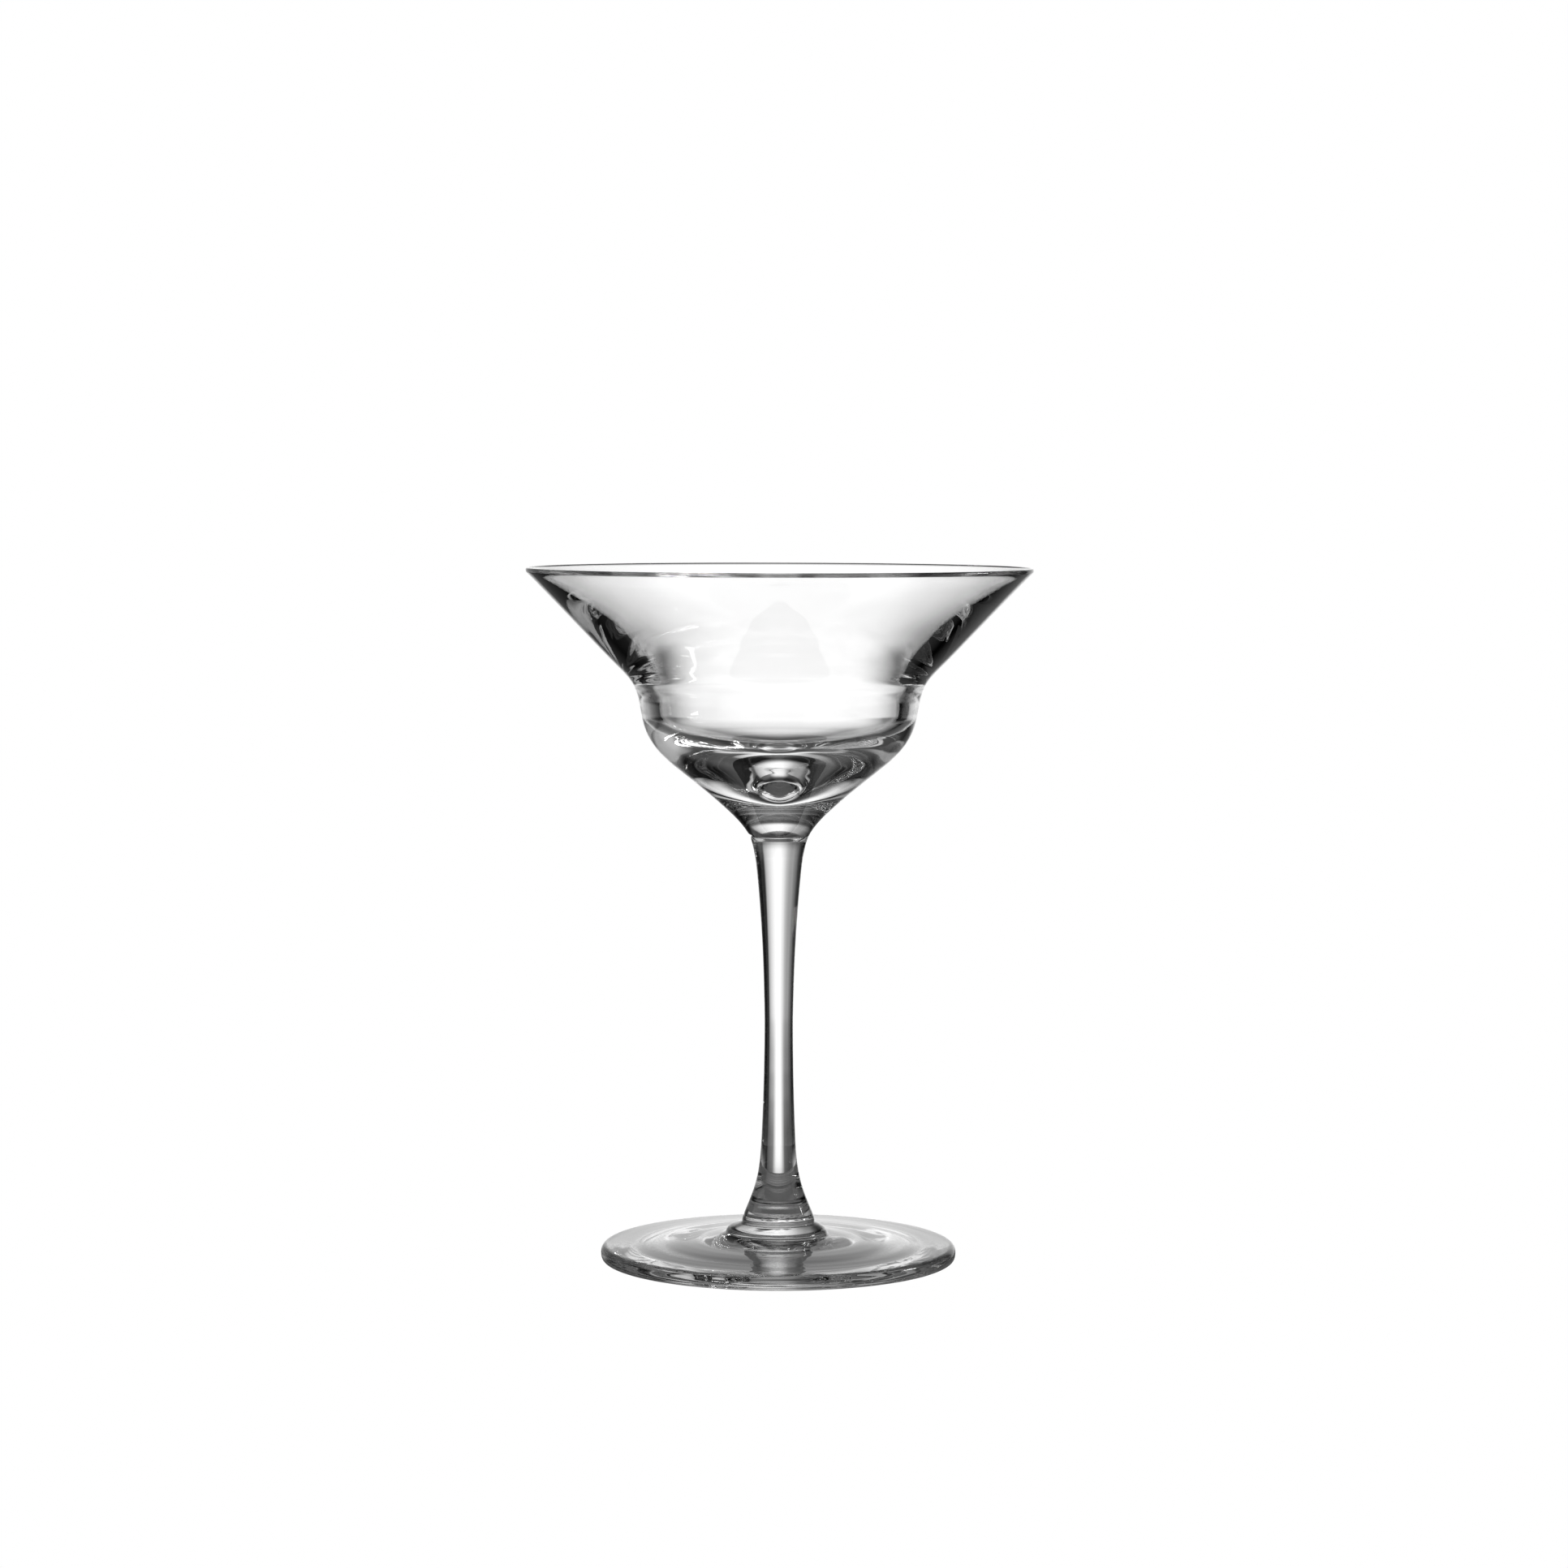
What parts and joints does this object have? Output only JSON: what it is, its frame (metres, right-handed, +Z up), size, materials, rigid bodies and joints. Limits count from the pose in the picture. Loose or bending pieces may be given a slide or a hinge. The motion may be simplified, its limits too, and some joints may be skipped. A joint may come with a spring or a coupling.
{
  "type": "martini glass",
  "caption": "Clear stemmed cocktail glass: flared cone over a small rounded cup with a thick base, slim waisted stem and a round foot, fused hot at two welds.",
  "frame": {"origin": "centre of the foot, on the plane the glass stands on", "axes": "+Z up along the glass's axis of revolution, out of the mouth; X and Y are interchangeable"},
  "size_m": [0.113, 0.113, 0.1552],
  "materials": {
    "bowl_glass": "clear, fire polished, faint flow lines in the thick base",
    "stem_glass": "clear, drawn, fire polished, faint drawing lines along its length",
    "foot_glass": "clear, spun and fire polished, faint turning rings on the upper side"
  },
  "bodies": {
    "root": {"bowl": "bowl_glass", "stem": "stem_glass", "foot": "foot_glass"}
  },
  "joints": []
}
